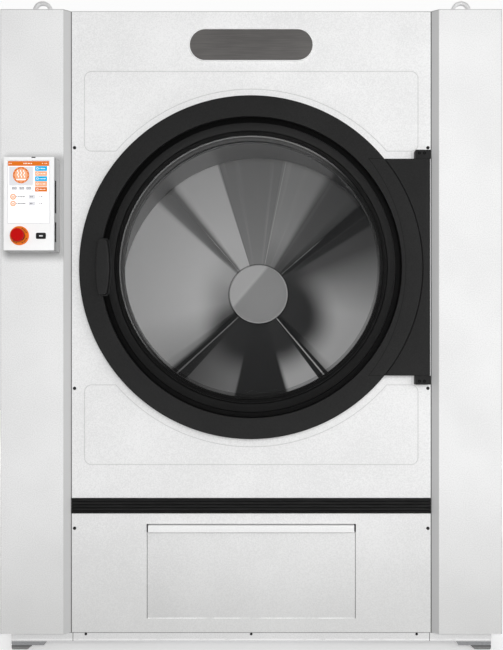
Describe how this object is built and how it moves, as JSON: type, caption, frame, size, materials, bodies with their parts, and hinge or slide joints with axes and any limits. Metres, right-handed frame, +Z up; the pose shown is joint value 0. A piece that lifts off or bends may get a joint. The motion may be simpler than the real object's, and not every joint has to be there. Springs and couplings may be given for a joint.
{
  "type": "industrial tumble dryer",
  "caption": "Large white front-loading industrial tumble dryer with a round glass door, a turning steel drum, a lint drawer and a roof heater.",
  "frame": {"origin": "centre of the footprint of the whole machine, on the floor", "axes": "+Z up, front with the door towards -Y, +X to the right seen from the front"},
  "size_m": [1.547, 1.977, 2.2435],
  "materials": {
    "panel_white": "fine-grained white powder coat",
    "door_dark": "satin black powder coat",
    "inner_ring_black": "gloss black",
    "rubber_black": "matt black rubber",
    "steel": "brushed stainless",
    "drum_steel": "brushed and polished stainless",
    "hub_steel": "turned stainless",
    "zinc_plate": "zinc-coated sheet and tube",
    "badge_grey": "dark grey with a bright rim",
    "black_steel": "blackened screws",
    "screen_glass": "lit screen behind flat glass",
    "board_green": "circuit board",
    "black_plastic": "moulded black",
    "stop_orange": "orange legend disc",
    "stop_red": "red moulded head",
    "cast_grey": "machined cast iron",
    "motor_grey": "painted cast motor body",
    "copper_fins": "finned coil",
    "door_glass": "clear flat glass with a bevel"
  },
  "bodies": {
    "cabinet": {"base_beams": "zinc_plate", "foot_plates": "steel", "foot_pads": "rubber_black", "cabinet_frame": "zinc_plate", "pillar_covers": "panel_white", "side_panels": "panel_white", "roof_panel": "panel_white", "rear_panel": "panel_white", "drive_cover": "panel_white", "upper_front_panel": "panel_white", "lower_front_panel": "panel_white", "bumper_strip": "rubber_black", "badge_plate": "badge_grey", "lifting_eyes": "zinc_plate", "panel_screws": "black_steel", "throat_ring": "steel", "door_seal": "rubber_black", "hinge_brackets": "door_dark", "hinge_pins": "steel", "control_box": "panel_white", "control_face": "panel_white", "touch_screen": "screen_glass", "control_board": "board_green", "usb_port": "black_plastic", "stop_base": "stop_orange", "drum_housing": "zinc_plate", "housing_ends": "zinc_plate", "lint_housing": "zinc_plate", "drawer_runners": "steel", "bearing_housing": "cast_grey", "bearings": "steel", "drive_motor": "motor_grey", "motor_stand": "zinc_plate", "drive_belt": "rubber_black", "heater_box": "zinc_plate", "heater_coil": "copper_fins", "air_filter": "steel", "air_ducts": "zinc_plate", "fan_scroll": "zinc_plate", "fan_motor": "motor_grey", "exhaust_collar": "zinc_plate", "cable_gland": "black_plastic"},
    "door": {"door_ring": "door_dark", "hinge_plate": "door_dark", "door_inner_ring": "inner_ring_black", "glass_seal": "rubber_black", "door_glass": "door_glass", "door_handle": "door_dark"},
    "drum": {"drum_shell": "drum_steel", "lifters": "drum_steel", "drum_back": "drum_steel", "hub_cap": "hub_steel", "drum_shaft": "steel", "drum_pulley": "cast_grey"},
    "motor_shaft": {"motor_pulley": "cast_grey"},
    "fan": {"fan_wheel": "steel"},
    "lint_drawer": {"drawer_front": "panel_white", "drawer_tray": "zinc_plate", "lint_screen": "steel"},
    "stop": {"stop_button": "stop_red"}
  },
  "joints": [
    {"name": "door_hinge", "type": "hinge", "parent": "cabinet", "child": "door", "pos_m": [0.5385, -0.9015, 1.186], "axis": [0, 0, 1], "range_deg": [0, 150]},
    {"name": "drum_spin", "type": "hinge", "parent": "cabinet", "child": "drum", "pos_m": [0, 0, 1.186], "axis": [0, 1, 0], "continuous": true},
    {"name": "motor_spin", "type": "hinge", "parent": "cabinet", "child": "motor_shaft", "pos_m": [0.43, 0.75, 0.64], "axis": [0, 1, 0], "continuous": true},
    {"name": "fan_spin", "type": "hinge", "parent": "cabinet", "child": "fan", "pos_m": [-0.33, 0.68, 0.33], "axis": [0, 1, 0], "continuous": true},
    {"name": "lint_drawer_slide", "type": "slide", "parent": "cabinet", "child": "lint_drawer", "axis": [0, -1, 0], "range_m": [0, 0.5]},
    {"name": "stop_press", "type": "slide", "parent": "cabinet", "child": "stop", "axis": [0, 1, 0], "range_m": [0, 0.004]}
  ],
  "couplings": [
    {"joint": "motor_spin", "follows": "drum_spin", "ratio": 5.3333}
  ]
}
